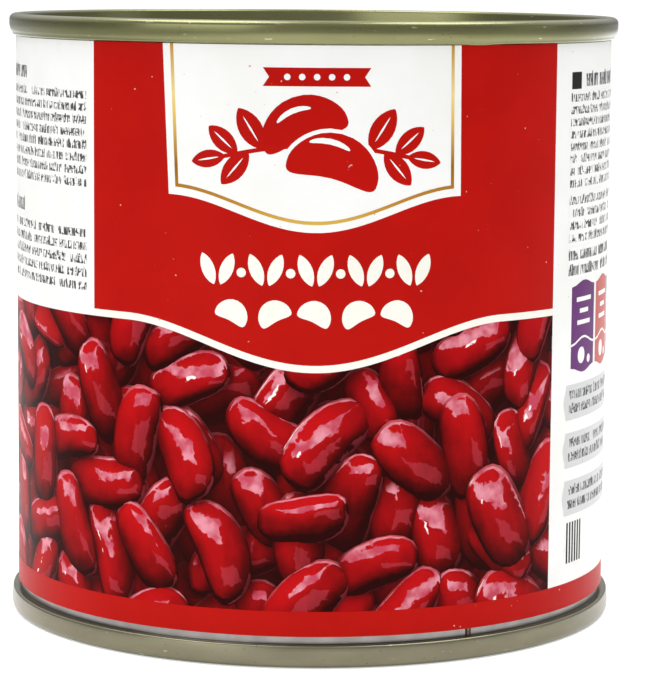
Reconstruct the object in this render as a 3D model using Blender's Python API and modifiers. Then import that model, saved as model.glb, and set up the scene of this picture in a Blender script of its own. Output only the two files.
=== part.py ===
"""A shut squat food can of welded tinplate, with a paper label wrapped round it.

Units are metres and +Z is up. The origin is the centre of the ring that the can stands on,
and the front of the label faces -Y. Four pieces, each its own solid:

    can_body    the welded wall, filled solid because the shut can can't be seen into
    top_end     the lacquered end that is seamed on above, with its recessed, beaded panel
    bottom_end  the same end, seamed on below
    label       the paper sleeve round the wall
"""

import math

import bmesh
import bpy

# Driving dimensions of the can
SEAM_DIAMETER = 0.0864
CAN_HEIGHT = 0.0848
BODY_DIAMETER = 0.0838
SEAM_HEIGHT = 0.00305
SEAM_THICKNESS = 0.00175

# The recess inside a seam: its groove, its panel and the panel's rings
GROOVE_DEPTH = 0.0046
GROOVE_RADIUS = 0.00055
PANEL_DEPTH = 0.0034
PANEL_RADIUS = 0.0388
CHUCK_WALL_SLOPE = math.radians(5)
RING_RADII = (0.0100, 0.0215, 0.0318)
RING_WIDTH = 0.0030
RING_HEIGHT = 0.0005

# The label
LABEL_BASE = 0.0041
LABEL_THICKNESS = 0.00025
LABEL_SLACK = 0.00022

# The wall's weld, which stands a little proud
WELD_ANGLE = math.radians(30.4)
WELD_WIDTH = 0.0009
WELD_PROUD = 0.00012
WELD_ROOT = 0.00018

GAP = 0.0003
END_BACKING = 0.0002
ROUND_STEPS = 72
MERGE = 0.00001

SEAM_RADIUS = SEAM_DIAMETER / 2
BODY_RADIUS = BODY_DIAMETER / 2
CHUCK_WALL_TOP_RADIUS = SEAM_RADIUS - SEAM_THICKNESS
END_THICKNESS = GROOVE_DEPTH + END_BACKING


def clear_scene():
    """Remove what a new Blender file holds."""
    for thing in list(bpy.data.objects):
        bpy.data.objects.remove(thing)


def new_collection(name):
    """A collection of that name, linked to the scene."""
    collection = bpy.data.collections.new(name)
    bpy.context.scene.collection.children.link(collection)
    return collection


def new_material(name, colour, roughness, metallic):
    """A Principled material of one colour."""
    material = bpy.data.materials.new(name)
    material.use_nodes = True
    shader = material.node_tree.nodes["Principled BSDF"]
    shader.inputs["Base Color"].default_value = (*colour, 1.0)
    shader.inputs["Roughness"].default_value = roughness
    shader.inputs["Metallic"].default_value = metallic
    material.diffuse_color = (*colour, 1.0)
    return material


def arc(centre, radius, start, end, steps):
    """Points (r, z) on an arc, from one angle to another in degrees, ends included."""
    points = []
    for step in range(steps + 1):
        angle = math.radians(start + (end - start) * step / steps)
        points.append((centre[0] + radius * math.cos(angle), centre[1] + radius * math.sin(angle)))
    return points


def turned(name, profile, collection, material):
    """A solid turned round Z from an open profile of (r, z) points whose ends lie on the axis.

    The profile runs from the top of the axis down the outer side to the bottom of the axis.
    """
    mesh = bpy.data.meshes.new(name)
    points = [(r, 0.0, z) for r, z in profile]
    edges = [(i, i + 1) for i in range(len(points) - 1)]
    mesh.from_pydata(points, edges, [])
    thing = bpy.data.objects.new(name, mesh)
    collection.objects.link(thing)
    thing.data.materials.append(material)
    screw = thing.modifiers.new("turn", "SCREW")
    screw.axis = "Z"
    screw.steps = ROUND_STEPS
    screw.render_steps = ROUND_STEPS
    screw.use_merge_vertices = True
    screw.merge_threshold = MERGE
    screw.use_smooth_shade = True
    return thing


def panel_points():
    """Depths below the seam's top across the recessed panel, from the axis out to its edge.

    Each ring is a low round-topped bead, and each point is (r, depth).
    """
    points = [(0.0, PANEL_DEPTH)]
    for radius in RING_RADII:
        half = RING_WIDTH / 2
        points.append((radius - half, PANEL_DEPTH))
        points.append((radius - half * 0.45, PANEL_DEPTH - RING_HEIGHT * 0.85))
        points.append((radius, PANEL_DEPTH - RING_HEIGHT))
        points.append((radius + half * 0.45, PANEL_DEPTH - RING_HEIGHT * 0.85))
        points.append((radius + half, PANEL_DEPTH))
    points.append((PANEL_RADIUS - 0.0006, PANEL_DEPTH))
    points.append((PANEL_RADIUS - 0.0001, PANEL_DEPTH + 0.0003))
    return points


def groove_points():
    """The round-bottomed groove between the panel and the chuck wall, as (r, depth) points."""
    wall_foot = CHUCK_WALL_TOP_RADIUS - math.tan(CHUCK_WALL_SLOPE) * (GROOVE_DEPTH - GROOVE_RADIUS)
    middle = wall_foot - GROOVE_RADIUS
    inner = PANEL_RADIUS + GROOVE_RADIUS
    depth = GROOVE_DEPTH - GROOVE_RADIUS
    inside = arc((inner, depth), GROOVE_RADIUS, 180, 90, 3)
    outside = arc((middle, depth), GROOVE_RADIUS, 90, 0, 3)
    return inside + outside


def seam_points():
    """The double seam's outline as (r, depth) points, from the chuck wall over the top to its foot.

    The seam is widest a little below its flat top and narrows to a rounded foot, as the
    second seaming roll leaves it.
    """
    inner_round = 0.00045
    outer_round = 0.00085
    foot_round = 0.00038
    foot_inset = 0.00042
    top_inner = (CHUCK_WALL_TOP_RADIUS + inner_round, inner_round)
    top_outer = (SEAM_RADIUS - outer_round, outer_round)
    foot = (SEAM_RADIUS - foot_inset - foot_round, SEAM_HEIGHT - foot_round)
    points = [(r, 2 * inner_round - z) for r, z in arc(top_inner, inner_round, 180, 90, 3)]
    points += [(r, 2 * outer_round - z) for r, z in arc(top_outer, outer_round, 90, 0, 5)]
    points += [(SEAM_RADIUS, 0.00150), (SEAM_RADIUS - 0.00013, 0.00215)]
    points += arc(foot, foot_round, 0, 90, 3)
    return points


def end_profile():
    """The whole end in section, as (r, depth) points from the axis to the axis again."""
    plug_radius = CHUCK_WALL_TOP_RADIUS - math.tan(CHUCK_WALL_SLOPE) * SEAM_HEIGHT
    plug_foot = CHUCK_WALL_TOP_RADIUS - math.tan(CHUCK_WALL_SLOPE) * END_THICKNESS
    profile = panel_points() + groove_points() + seam_points()
    profile += [(plug_radius + END_BACKING, SEAM_HEIGHT)]
    profile += [(plug_foot + END_BACKING, END_THICKNESS), (0.0, END_THICKNESS)]
    return profile


def body_profile():
    """The filled wall in section, recessed at each end to clear the ends' plugs."""
    drop = math.tan(CHUCK_WALL_SLOPE)
    lip = SEAM_HEIGHT + GAP
    floor = END_THICKNESS + GAP
    lip_inside = CHUCK_WALL_TOP_RADIUS - drop * SEAM_HEIGHT + END_BACKING + GAP
    floor_radius = lip_inside - drop * (floor - lip)
    upper = [(0.0, floor), (floor_radius, floor), (lip_inside, lip), (BODY_RADIUS, lip)]
    top_half = [(r, CAN_HEIGHT - depth) for r, depth in upper]
    bottom_half = [(r, depth) for r, depth in reversed(upper)]
    return top_half + bottom_half


def add_body(collection, helpers, material):
    """The welded wall: the turned solid with the weld's low ridge joined to it."""
    body = turned("can_body", body_profile(), collection, material)
    low = SEAM_HEIGHT + GAP
    height = CAN_HEIGHT - 2 * low
    depth = WELD_PROUD + WELD_ROOT
    mesh = bpy.data.meshes.new("weld_ridge")
    shape = bmesh.new()
    bmesh.ops.create_cube(shape, size=1.0)
    bmesh.ops.scale(shape, vec=(WELD_WIDTH, depth, height), verts=shape.verts)
    shape.to_mesh(mesh)
    shape.free()
    ridge = bpy.data.objects.new("weld_ridge", mesh)
    helpers.objects.link(ridge)
    reach = BODY_RADIUS + WELD_PROUD - depth / 2
    ridge.location = (reach * math.sin(WELD_ANGLE), -reach * math.cos(WELD_ANGLE), CAN_HEIGHT / 2)
    ridge.rotation_euler = (0.0, 0.0, WELD_ANGLE)
    ridge.hide_render = True
    ridge.display_type = "WIRE"
    join = body.modifiers.new("weld", "BOOLEAN")
    join.operation = "UNION"
    join.object = ridge
    return body


def add_end(name, collection, material, is_top):
    """One end. The lower one is the same section turned over."""
    section = end_profile()
    if is_top:
        profile = [(r, CAN_HEIGHT - depth) for r, depth in section]
    else:
        profile = list(reversed(section))
    return turned(name, profile, collection, material)


def add_label(collection, material):
    """The paper sleeve: an open cylinder with the paper's thickness."""
    inside = BODY_RADIUS + LABEL_SLACK
    top = CAN_HEIGHT - SEAM_HEIGHT - GAP
    mesh = bpy.data.meshes.new("label")
    shape = bmesh.new()
    bmesh.ops.create_cone(
        shape,
        cap_ends=False,
        segments=ROUND_STEPS,
        radius1=inside,
        radius2=inside,
        depth=top - LABEL_BASE,
    )
    shape.to_mesh(mesh)
    shape.free()
    mesh.materials.append(material)
    label = bpy.data.objects.new("label", mesh)
    label.location = (0.0, 0.0, (top + LABEL_BASE) / 2)
    collection.objects.link(label)
    paper = label.modifiers.new("paper", "SOLIDIFY")
    paper.thickness = LABEL_THICKNESS
    paper.offset = 1.0
    paper.use_even_offset = True
    return label


def main():
    """Build the can."""
    clear_scene()
    parts = new_collection("food_can")
    helpers = new_collection("helpers")
    tinplate = new_material("tinplate", (0.52, 0.52, 0.54), 0.35, 1.0)
    gold_lacquer = new_material("gold_lacquered_tinplate", (0.42, 0.40, 0.22), 0.38, 1.0)
    paper = new_material("printed_paper", (0.60, 0.03, 0.03), 0.45, 0.0)
    add_body(parts, helpers, tinplate)
    add_end("top_end", parts, gold_lacquer, is_top=True)
    add_end("bottom_end", parts, gold_lacquer, is_top=False)
    add_label(parts, paper)


main()
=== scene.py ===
"""Looks of a shut squat food can: lacquered ends, a welded tinplate wall and a printed paper label.

Everything is in metres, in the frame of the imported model: +Z up, the front of the label towards -Y.
Places on the label are given by an angle in degrees, 0 at the front and growing to its right, and
a height. The print is a set of thin ink films over the paper, each closed and each lying on the
one below it.
"""

import logging
import math
import random
from collections.abc import Callable, Iterable, Sequence
from dataclasses import dataclass, field
from enum import Enum
from functools import cache, partial

import bmesh
import bpy
import numpy as np
from mathutils import Matrix, Vector


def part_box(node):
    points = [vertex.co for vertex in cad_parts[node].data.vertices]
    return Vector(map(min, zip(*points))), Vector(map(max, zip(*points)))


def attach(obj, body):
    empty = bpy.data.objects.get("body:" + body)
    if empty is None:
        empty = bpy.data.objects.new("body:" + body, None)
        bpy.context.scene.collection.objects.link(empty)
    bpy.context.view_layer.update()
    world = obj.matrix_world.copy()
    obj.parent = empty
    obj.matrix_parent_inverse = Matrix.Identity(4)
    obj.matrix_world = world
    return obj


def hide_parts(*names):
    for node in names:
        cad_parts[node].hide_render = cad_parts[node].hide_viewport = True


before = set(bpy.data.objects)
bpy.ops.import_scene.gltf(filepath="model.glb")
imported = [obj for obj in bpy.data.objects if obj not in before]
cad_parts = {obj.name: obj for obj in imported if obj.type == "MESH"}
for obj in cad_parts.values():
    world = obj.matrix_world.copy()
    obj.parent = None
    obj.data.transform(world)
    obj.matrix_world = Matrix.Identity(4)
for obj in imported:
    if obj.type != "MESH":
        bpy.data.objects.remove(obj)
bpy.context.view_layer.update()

LOG = logging.getLogger("food_can")
ROOT_BODY = "root"
MM = 0.001

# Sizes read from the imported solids. The seams keep a hair inside their box, and the paper's upper
# edge goes up behind the seam.
KEPT_INSIDE = 0.01 * MM
PAPER_TUCK = 0.22 * MM
SEAM_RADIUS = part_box("top_end")[1].x - KEPT_INSIDE
CAN_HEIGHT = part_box("top_end")[1].z
WALL_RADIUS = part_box("can_body")[1].x
LABEL_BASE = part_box("label")[0].z
LABEL_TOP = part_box("label")[1].z + PAPER_TUCK

# Driving dimensions of the seams and the weld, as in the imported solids
SEAM_HEIGHT = 3.05 * MM
SEAM_THICKNESS = 1.75 * MM
CHUCK_WALL_TOP = SEAM_RADIUS - SEAM_THICKNESS
CHUCK_WALL_SLOPE = math.tan(math.radians(5))
WELD_ANGLE = 30.4

# The paper's layers, as distances outwards, and the angles over which its outer end climbs its inner end
PAPER_INSIDE = 42.13 * MM
PAPER_THICKNESS = 0.08 * MM
PAPER_OUTSIDE = PAPER_INSIDE + PAPER_THICKNESS
LAP_RISE = 0.09 * MM
LAP_START = 112.0
LAP_END = 121.0

# The label's fields: where they begin and end round the can, and two heights
PRINT_START = -229.5
PRINT_END = 129.5
LEFT_PANEL = (-118.0, -43.5)
RIGHT_PANEL = (50.3, 124.0)
BAND_TOP = 7.5 * MM
PICTURE_TOP = 46.4 * MM

# The thickness of an ink film, and what lifts each shape of a piece over the one before it
FILM = 0.006 * MM
HAIR = 0.0003 * MM

# The paper and all its ink lie on the same narrow facets, so that thin layers never cross
FACET = 1.5

Tree = bpy.types.NodeTree
Socket = bpy.types.NodeSocket
Shape = bmesh.types.BMesh
Colour = tuple[float, float, float, float]
Spot = tuple[float, float]
Edge = float | Callable[[float], float]
Form = Callable[[float], Spot]


def linear(colour: str) -> Colour:
    """Turn an sRGB hex colour into linear light.

    Args:
        colour: The colour as "#RRGGBB".

    Returns:
        Its linear red, green and blue, and an alpha of 1.
    """
    channels = [int(colour[i : i + 2], 16) / 255 for i in (1, 3, 5)]
    red, green, blue = (c / 12.92 if c <= 0.04045 else ((c + 0.055) / 1.055) ** 2.4 for c in channels)
    return (red, green, blue, 1.0)


def grey(light: float) -> Colour:
    """A grey of that much linear light."""
    return (light, light, light, 1.0)


def around(radius: float, angle: float, height: float) -> Vector:
    """The point at a radius, an angle in degrees from the front and a height."""
    turn = math.radians(angle)
    return Vector((radius * math.sin(turn), -radius * math.cos(turn), height))


def on_facets(radius: float, angle: float, height: float) -> Vector:
    """Find a point of the paper, which is flat between the facet lines.

    Args:
        radius: The radius at the facet lines.
        angle: The angle in degrees from the front.
        height: The height.

    Returns:
        The point on the straight facet between the two lines beside it.
    """
    line = math.floor(angle / FACET + 1e-5)
    before = around(radius, line * FACET, height)
    return before.lerp(around(radius, (line + 1) * FACET, height), angle / FACET - line)


def cut_at_facets(shape: Shape) -> None:
    """Cut a mesh along every facet line that it crosses.

    Args:
        shape: The mesh, whose x is an angle in degrees.
    """
    low = min(point.co.x for point in shape.verts)
    high = max(point.co.x for point in shape.verts)
    for line in range(math.floor(low / FACET) + 1, math.ceil(high / FACET)):
        parts = shape.verts[:] + shape.edges[:] + shape.faces[:]
        place = (line * FACET, 0, 0)
        bmesh.ops.bisect_plane(shape, geom=parts, dist=1e-4, plane_co=place, plane_no=(1, 0, 0))


def arc(centre: Spot, radius: float, start: float, end: float, steps: int) -> list[Spot]:
    """Points on an arc in the plane of a section.

    Args:
        centre: The arc's centre.
        radius: Its radius.
        start: The first point's angle in degrees.
        end: The last point's angle in degrees.
        steps: How many stretches lie between them.

    Returns:
        The points, both ends included.
    """
    angles = [math.radians(start + (end - start) * step / steps) for step in range(steps + 1)]
    return [(centre[0] + radius * math.cos(a), centre[1] + radius * math.sin(a)) for a in angles]


def wave(share: float) -> float:
    """A smooth rise from 0 at the middle to 1 at the ends, level at both."""
    return 0.5 - 0.5 * math.cos(math.pi * min(abs(share), 1.0))


# Finishes

# A mask that rises smoothly between two values, and a mix of two colours
SMOOTH = {"interpolation_type": "SMOOTHSTEP"}
COLOURS = {"data_type": "RGBA", "output": 2}


def every(period: float) -> float:
    """The scale of a pattern whose features lie that many millimetres apart."""
    return 1 / (period * MM)


def feed(tree: Tree, node: bpy.types.Node, links: dict) -> None:
    """Set and link a node's inputs.

    Args:
        tree: The tree that it is in.
        node: The node.
        links: For each input, by name or number, a value, a hex colour or the output that feeds it.
    """
    for socket, value in links.items():
        if isinstance(value, Socket):
            tree.links.new(value, node.inputs[socket])
        else:
            node.inputs[socket].default_value = linear(value) if isinstance(value, str) else value


def add_node(
    tree: Tree,
    kind: str,
    links: Sequence | dict = (),
    output: int | str = 0,
    stops: Sequence[tuple[float, str]] = (),
    **settings: object,
) -> Socket:
    """Add a node with its settings and its links.

    Args:
        tree: The tree that it goes into.
        kind: The node's type without "ShaderNode", and after a space a math node's operation.
        links: What its inputs get, in their order or by name or number.
        output: Which of its outputs is wanted.
        stops: The positions and hex colours of a colour ramp.
        settings: The node's own properties.

    Returns:
        The wanted output.
    """
    kind, _, operation = kind.partition(" ")
    node = tree.nodes.new("ShaderNode" + kind)
    if operation:
        node.operation = operation
    for name, value in settings.items():
        setattr(node, name, value)
    feed(tree, node, links if isinstance(links, dict) else dict(enumerate(links)))
    for _ in stops[2:]:
        node.color_ramp.elements.new(0.5)
    for place, (position, colour) in enumerate(stops):
        node.color_ramp.elements[place].position = position
        node.color_ramp.elements[place].color = linear(colour)
    return node.outputs[output]


def layered(tree: Tree, colour: object, *layers: tuple[object, float, float, object]) -> Socket:
    """Lay colours over one another.

    Args:
        tree: The tree to add to.
        colour: The lowest colour.
        layers: For each colour above it, a mask, the values where it begins and is full, and the colour.

    Returns:
        The finished colour.
    """
    for mask, low, high, above in layers:
        share = add_node(tree, "MapRange", (mask, low, high), **SMOOTH)
        colour = add_node(tree, "Mix", {0: share, 6: colour, 7: above}, **COLOURS)
    return colour


def turned_place(tree: Tree, squeeze: float) -> Socket:
    """Coordinates that follow a turned surface, squeezed so that a pattern runs round it.

    Args:
        tree: The tree to add to.
        squeeze: How many times the distance round the can is shrunk.

    Returns:
        A vector of the shrunk distance round, the radius and the height, in metres.
    """
    add = partial(add_node, tree)
    x, y, z = add("SeparateXYZ", [add("TexCoord", output="Object")]).node.outputs
    turn = add("Math ARCTAN2", (x, add("Math MULTIPLY", (y, -1.0))))
    radius = add("VectorMath LENGTH", [add("CombineXYZ", (x, y))], output="Value")
    return add("CombineXYZ", (add("Math MULTIPLY", (turn, WALL_RADIUS / squeeze)), radius, z))


@dataclass(frozen=True)
class Finish:
    """A surface as it was made. Each kind of finish says what its shader gets."""

    name: str

    def look(self, tree: Tree) -> dict[str, object]:
        """What the Principled shader's inputs get."""
        raise NotImplementedError

    @cache
    def material(self) -> bpy.types.Material:
        """Build the material, once for each finish.

        Returns:
            The material.
        """
        made = bpy.data.materials.new(self.name)
        made.use_nodes = True
        tree = made.node_tree
        feed(tree, tree.nodes["Principled BSDF"], self.look(tree))
        return made


@dataclass(frozen=True)
class LacqueredTinplate(Finish):
    """Tinplate under a clear gold lacquer, drawn and seamed by rollers.

    The lacquer tints the metal's reflection and adds a faint white one of its own. The rollers
    leave fine lines that run round it, and handling leaves small rubs and dark specks.
    """

    tint: str
    deep_tint: str
    roughness: float
    coat: float = 0.5

    def look(self, tree: Tree) -> dict[str, object]:
        """Tint the metal and draw its lines, specks and rubs.

        Args:
            tree: The material's tree.

        Returns:
            What the shader's inputs get.
        """
        add = partial(add_node, tree)
        lines = add("TexNoise", {"Vector": turned_place(tree, 40.0), "Scale": every(0.16), "Detail": 2.0})
        cloud = add("TexNoise", {"Vector": turned_place(tree, 3.0), "Scale": every(2.4), "Detail": 3.0})
        rubs = add("TexNoise", {"Vector": turned_place(tree, 5.0), "Scale": every(0.45), "Detail": 2.0})
        place = add("TexCoord", output="Object")
        specks = add("TexNoise", {"Vector": place, "Scale": every(0.35), "Detail": 1.0})
        low, high = self.roughness - 0.05, self.roughness + 0.07
        relief = add("Math ADD", (lines, cloud))
        return {
            "Base Color": layered(
                tree,
                self.tint,
                (cloud, 0.3, 0.7, self.deep_tint),
                (specks, 0.73, 0.80, "#3E3A2C"),
                (rubs, 0.69, 0.76, "#B5B2A4"),
            ),
            "Metallic": 1.0,
            "Coat Weight": self.coat,
            "Coat Roughness": 0.18,
            "Roughness": add("MapRange", {"Value": lines, "To Min": low, "To Max": high}),
            "Normal": add("Bump", {"Strength": 0.35, "Distance": 0.01 * MM, "Height": relief}),
        }


@dataclass(frozen=True)
class BareTinplate(Finish):
    """Bright rolled tinplate that no lacquer covers: grey, with a fine grain that runs round the can."""

    name: str = "bare_rolled_tinplate"
    tint: str = "#94918E"
    worn_tint: str = "#878380"
    roughness: float = 0.30

    def look(self, tree: Tree) -> dict[str, object]:
        """Draw the rolled grain and a faint cloud.

        Args:
            tree: The material's tree.

        Returns:
            What the shader's inputs get.
        """
        add = partial(add_node, tree)
        grain = add("TexNoise", {"Vector": turned_place(tree, 60.0), "Scale": every(0.12), "Detail": 2.0})
        place = add("TexCoord", output="Object")
        cloud = add("TexNoise", {"Vector": place, "Scale": every(3.0), "Detail": 2.0})
        low, high = self.roughness - 0.06, self.roughness + 0.08
        return {
            "Base Color": layered(tree, self.tint, (cloud, 0.3, 0.7, self.worn_tint)),
            "Metallic": 1.0,
            "Roughness": add("MapRange", {"Value": grain, "To Min": low, "To Max": high}),
            "Normal": add("Bump", {"Strength": 0.25, "Distance": 0.01 * MM, "Height": grain}),
        }


@dataclass(frozen=True)
class WeldedSteel(Finish):
    """Steel burnt by the side weld: dull, brown-black, with the ripple of the welding current."""

    tint: str

    def look(self, tree: Tree) -> dict[str, object]:
        """Darken the steel in ripples.

        Args:
            tree: The material's tree.

        Returns:
            What the shader's inputs get.
        """
        place = add_node(tree, "TexCoord", output="Object")
        ripple = add_node(tree, "TexNoise", {"Vector": place, "Scale": every(0.25), "Detail": 1.0})
        burnt = add_node(tree, "Mix", {0: ripple, 6: self.tint, 7: "#2A2622"}, **COLOURS)
        return {"Base Color": burnt, "Metallic": 0.8, "Roughness": 0.5}


@dataclass(frozen=True)
class CoatedPaper(Finish):
    """Coated label paper under one flat offset ink.

    Its gloss is low face on and rises towards the edges of the can. The colour wanders a little
    with the ink's weight, and a few dust specks show in it.
    """

    ink: str
    heavy_ink: str
    gloss: float = 0.06
    roughness: float = 0.38

    def look(self, tree: Tree) -> dict[str, object]:
        """Print the ink on the paper, whose fibres show in its gloss.

        Args:
            tree: The material's tree.

        Returns:
            What the shader's inputs get.
        """
        place = add_node(tree, "TexCoord", output="Object")
        fibres = add_node(tree, "TexNoise", {"Vector": place, "Scale": every(0.30), "Detail": 3.0})
        return {
            "Base Color": self.colour(tree, place),
            "Roughness": self.roughness,
            "Specular IOR Level": self.gloss,
            "Normal": add_node(tree, "Bump", {"Strength": 0.12, "Distance": 0.01 * MM, "Height": fibres}),
        }

    def colour(self, tree: Tree, place: Socket) -> Socket:
        """Print one flat ink.

        Args:
            tree: The material's tree.
            place: Object coordinates, which are the can's own metres.

        Returns:
            The printed colour.
        """
        weight = add_node(tree, "TexNoise", {"Vector": place, "Scale": every(9.0), "Detail": 3.0})
        dust = add_node(tree, "TexNoise", {"Vector": place, "Scale": every(0.55), "Detail": 0.0})
        return layered(tree, self.ink, (weight, 0.35, 0.7, self.heavy_ink), (dust, 0.865, 0.90, "#CF958D"))


@dataclass(frozen=True)
class FinePrint(CoatedPaper):
    """White coated paper with rows of fine dark print, too small to read.

    The map "rows" counts rows upwards and character widths along them. Each row holds runs of
    short dark strokes with gaps between the runs.
    """

    boldness: float = 0.5
    stroke: float = 0.40

    def colour(self, tree: Tree, place: Socket) -> Socket:
        """Ink upright and level strokes, in words, between the foot and the head of each row.

        Args:
            tree: The material's tree.
            place: Object coordinates, not used, as this print doesn't follow them.

        Returns:
            The printed colour.
        """
        add = partial(add_node, tree)
        along, up, _ = add("SeparateXYZ", [add("UVMap", uv_map="rows")]).node.outputs
        within = add("Math FRACT", [up])
        seed = add("Math MULTIPLY", (add("Math FLOOR", [up]), 7.31))
        row = add("CombineXYZ", (along, seed))
        drawn = 0.0
        for shift, climb, period, low, high in (
            (0.0, 0.40, self.stroke, 0.53 - 0.08 * self.boldness, 0.57),
            (31.0, 2.8, 0.80, 0.57, 0.62),
        ):
            height = add("Math MULTIPLY_ADD", (within, climb, add("Math ADD", (seed, shift))))
            spot = add("CombineXYZ", (along, height))
            strokes = add("TexNoise", {"Vector": spot, "Scale": 1 / period, "Detail": 1.0})
            drawn = add("Math MAXIMUM", (drawn, add("MapRange", (strokes, low, high), **SMOOTH)))
        drift = add("TexNoise", {"Vector": row, "Scale": 1 / 9.0, "Detail": 0.0})
        phase = add("Math MULTIPLY_ADD", (drift, 1.6, add("Math MULTIPLY_ADD", (along, 1 / 7.5, seed))))
        words = add("MapRange", (add("Math FRACT", [phase]), 0.10, 0.13), **SMOOTH)
        rise = add("TexNoise", {"Vector": row, "Scale": 1 / 1.1, "Detail": 0.0})
        tall = add("MapRange", (rise, 0.60, 0.64), **SMOOTH)
        head = add("MapRange", (add("Math MULTIPLY_ADD", (tall, 0.13, within)), 0.15, 0.20), **SMOOTH)
        foot = add("MapRange", (within, 0.76, 0.81, 1.0, 0.0), **SMOOTH)
        for mask in (words, head, foot):
            drawn = add("Math MULTIPLY", (drawn, mask))
        return add("Mix", {0: drawn, 6: self.ink, 7: self.heavy_ink}, **COLOURS)


@dataclass(frozen=True)
class GoldInk(CoatedPaper):
    """A gold line printed as a gradient, pale where a real foil would catch the light and brown where not."""

    foot: float = 57.0 * MM

    def colour(self, tree: Tree, place: Socket) -> Socket:
        """Print the gradient from the line's foot up to the label's top.

        Args:
            tree: The material's tree.
            place: Object coordinates.

        Returns:
            The printed colour.
        """
        height = add_node(tree, "SeparateXYZ", [place], output="Z")
        share = add_node(tree, "MapRange", (height, self.foot, LABEL_TOP))
        browns = ((0.0, "#DDBE58"), (0.16, "#B58129"), (0.36, "#8C5A17"))
        golds = ((0.62, "#D9B75E"), (0.74, "#E2CD86"), (1.0, "#B98A35"))
        return add_node(tree, "ValToRGB", [share], stops=browns + golds)


@dataclass(frozen=True)
class BeanInk(CoatedPaper):
    """The printed picture of wet red kidney beans, painted from attributes that each bean's mesh holds.

    "painted_normal" is the way the pictured skin faces, "openness" how much light reaches it and
    "tone" a number of each bean's own. The picture's light is a window above: where the pictured
    skin mirrors it, there is a soft-edged pink patch, and a smaller lamp leaves white ones.
    """

    swell: float = 0.40
    jag: float = 0.15

    def colour(self, tree: Tree, place: Socket) -> Socket:
        """Paint the skin by the light that falls on it, and over it each thing that it mirrors.

        Args:
            tree: The material's tree.
            place: Object coordinates.

        Returns:
            The picture's colour.
        """
        add = partial(add_node, tree)
        wobble = add("TexNoise", {"Vector": place, "Scale": every(2.2), "Detail": 2.0})
        ragged = add("TexNoise", {"Vector": place, "Scale": every(0.55), "Detail": 2.0})
        painted = add("Attribute", output="Vector", attribute_name="painted_normal")
        openness = add("Attribute", output="Fac", attribute_name="openness")
        tone = add("Attribute", output="Fac", attribute_name="tone")
        flat = add("VectorMath SUBTRACT", (painted, (self.swell / 2,) * 3))
        uneven = add("VectorMath MULTIPLY_ADD", (wobble.node.outputs["Color"], (self.swell,) * 3, flat))
        skin = add("VectorMath NORMALIZE", [uneven])
        x, y, z = add("SeparateXYZ", [skin]).node.outputs
        twice = add("Math MULTIPLY", (z, 2.0))
        jag = add("Math MULTIPLY_ADD", (ragged, self.jag, -self.jag / 2))
        across, upward = (add("Math MULTIPLY_ADD", (twice, way, jag)) for way in (x, y))

        light = add("VectorMath DOT_PRODUCT", (skin, (-0.22, 0.70, 0.68)), output="Value")
        lit = add("Math MULTIPLY", (add("Math MAXIMUM", (light, 0.0)), openness))
        darks = ((0.0, "#240302"), (0.18, "#560405"), (0.48, "#90080C"))
        colour = add("ValToRGB", [lit], stops=darks + ((0.78, "#AE0C10"), (1.0, "#BC1016")))

        moved, raised = (
            add("Math MULTIPLY_ADD", (add("Math FRACT", [add("Math MULTIPLY", (tone, spread))]), -reach, way))
            for spread, reach, way in ((7.0, 0.5, across), (13.0, 0.34, upward))
        )
        width = add("Math MULTIPLY_ADD", (tone, 0.42, 0.42))
        pink = layered(tree, "#B84659", (wobble, 0.35, 0.7, "#DC92A0"))
        chosen = add("MapRange", (tone, 0.45, 0.5), **SMOOTH)
        facing_up = add("MapRange", (y, 0.35, 0.9), **SMOOTH)
        edge = add("MapRange", (z, 0.42, 0.12), **SMOOTH)
        seen = add("MapRange", (openness, 0.26, 0.55), **SMOOTH)
        well_seen = add("MapRange", (openness, 0.5, 0.7), **SMOOTH)
        for paint, masks in (
            ("#AE3A46", (self.patch(tree, across, upward, (0.46, -0.24), 0.42, 0.24), openness, 0.50)),
            (pink, (self.patch(tree, moved, raised, (-0.33, 0.41), width, 0.25), seen, 0.90)),
            ("#F6E9E6", (self.patch(tree, across, upward, (-0.42, 0.30), 0.10, 0.12), chosen, well_seen)),
            ("#D6747E", (edge, facing_up, openness, 0.55)),
        ):
            share = 1.0
            for mask in masks:
                share = add("Math MULTIPLY", (share, mask))
            colour = add("Mix", {0: share, 6: colour, 7: paint}, **COLOURS)
        return colour

    @staticmethod
    def patch(
        tree: Tree, across: Socket, upward: Socket, middle: Spot, half_width: object, half_height: float
    ) -> Socket:
        """Find where the pictured skin mirrors a lit rectangle.

        Args:
            tree: The material's tree.
            across: How far to the side the skin mirrors.
            upward: How far up it mirrors.
            middle: The rectangle's middle in those two.
            half_width: Half its width.
            half_height: Half its height.

        Returns:
            A mask with narrow soft edges.
        """
        sides = []
        for value, centre, half in ((across, middle[0], half_width), (upward, middle[1], half_height)):
            off = add_node(tree, "Math ABSOLUTE", [add_node(tree, "Math SUBTRACT", (value, centre))])
            within = add_node(tree, "Math SUBTRACT", (half, off))
            sides.append(add_node(tree, "MapRange", (within, 0.0, 0.05), **SMOOTH))
        return add_node(tree, "Math MULTIPLY", sides)


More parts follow.
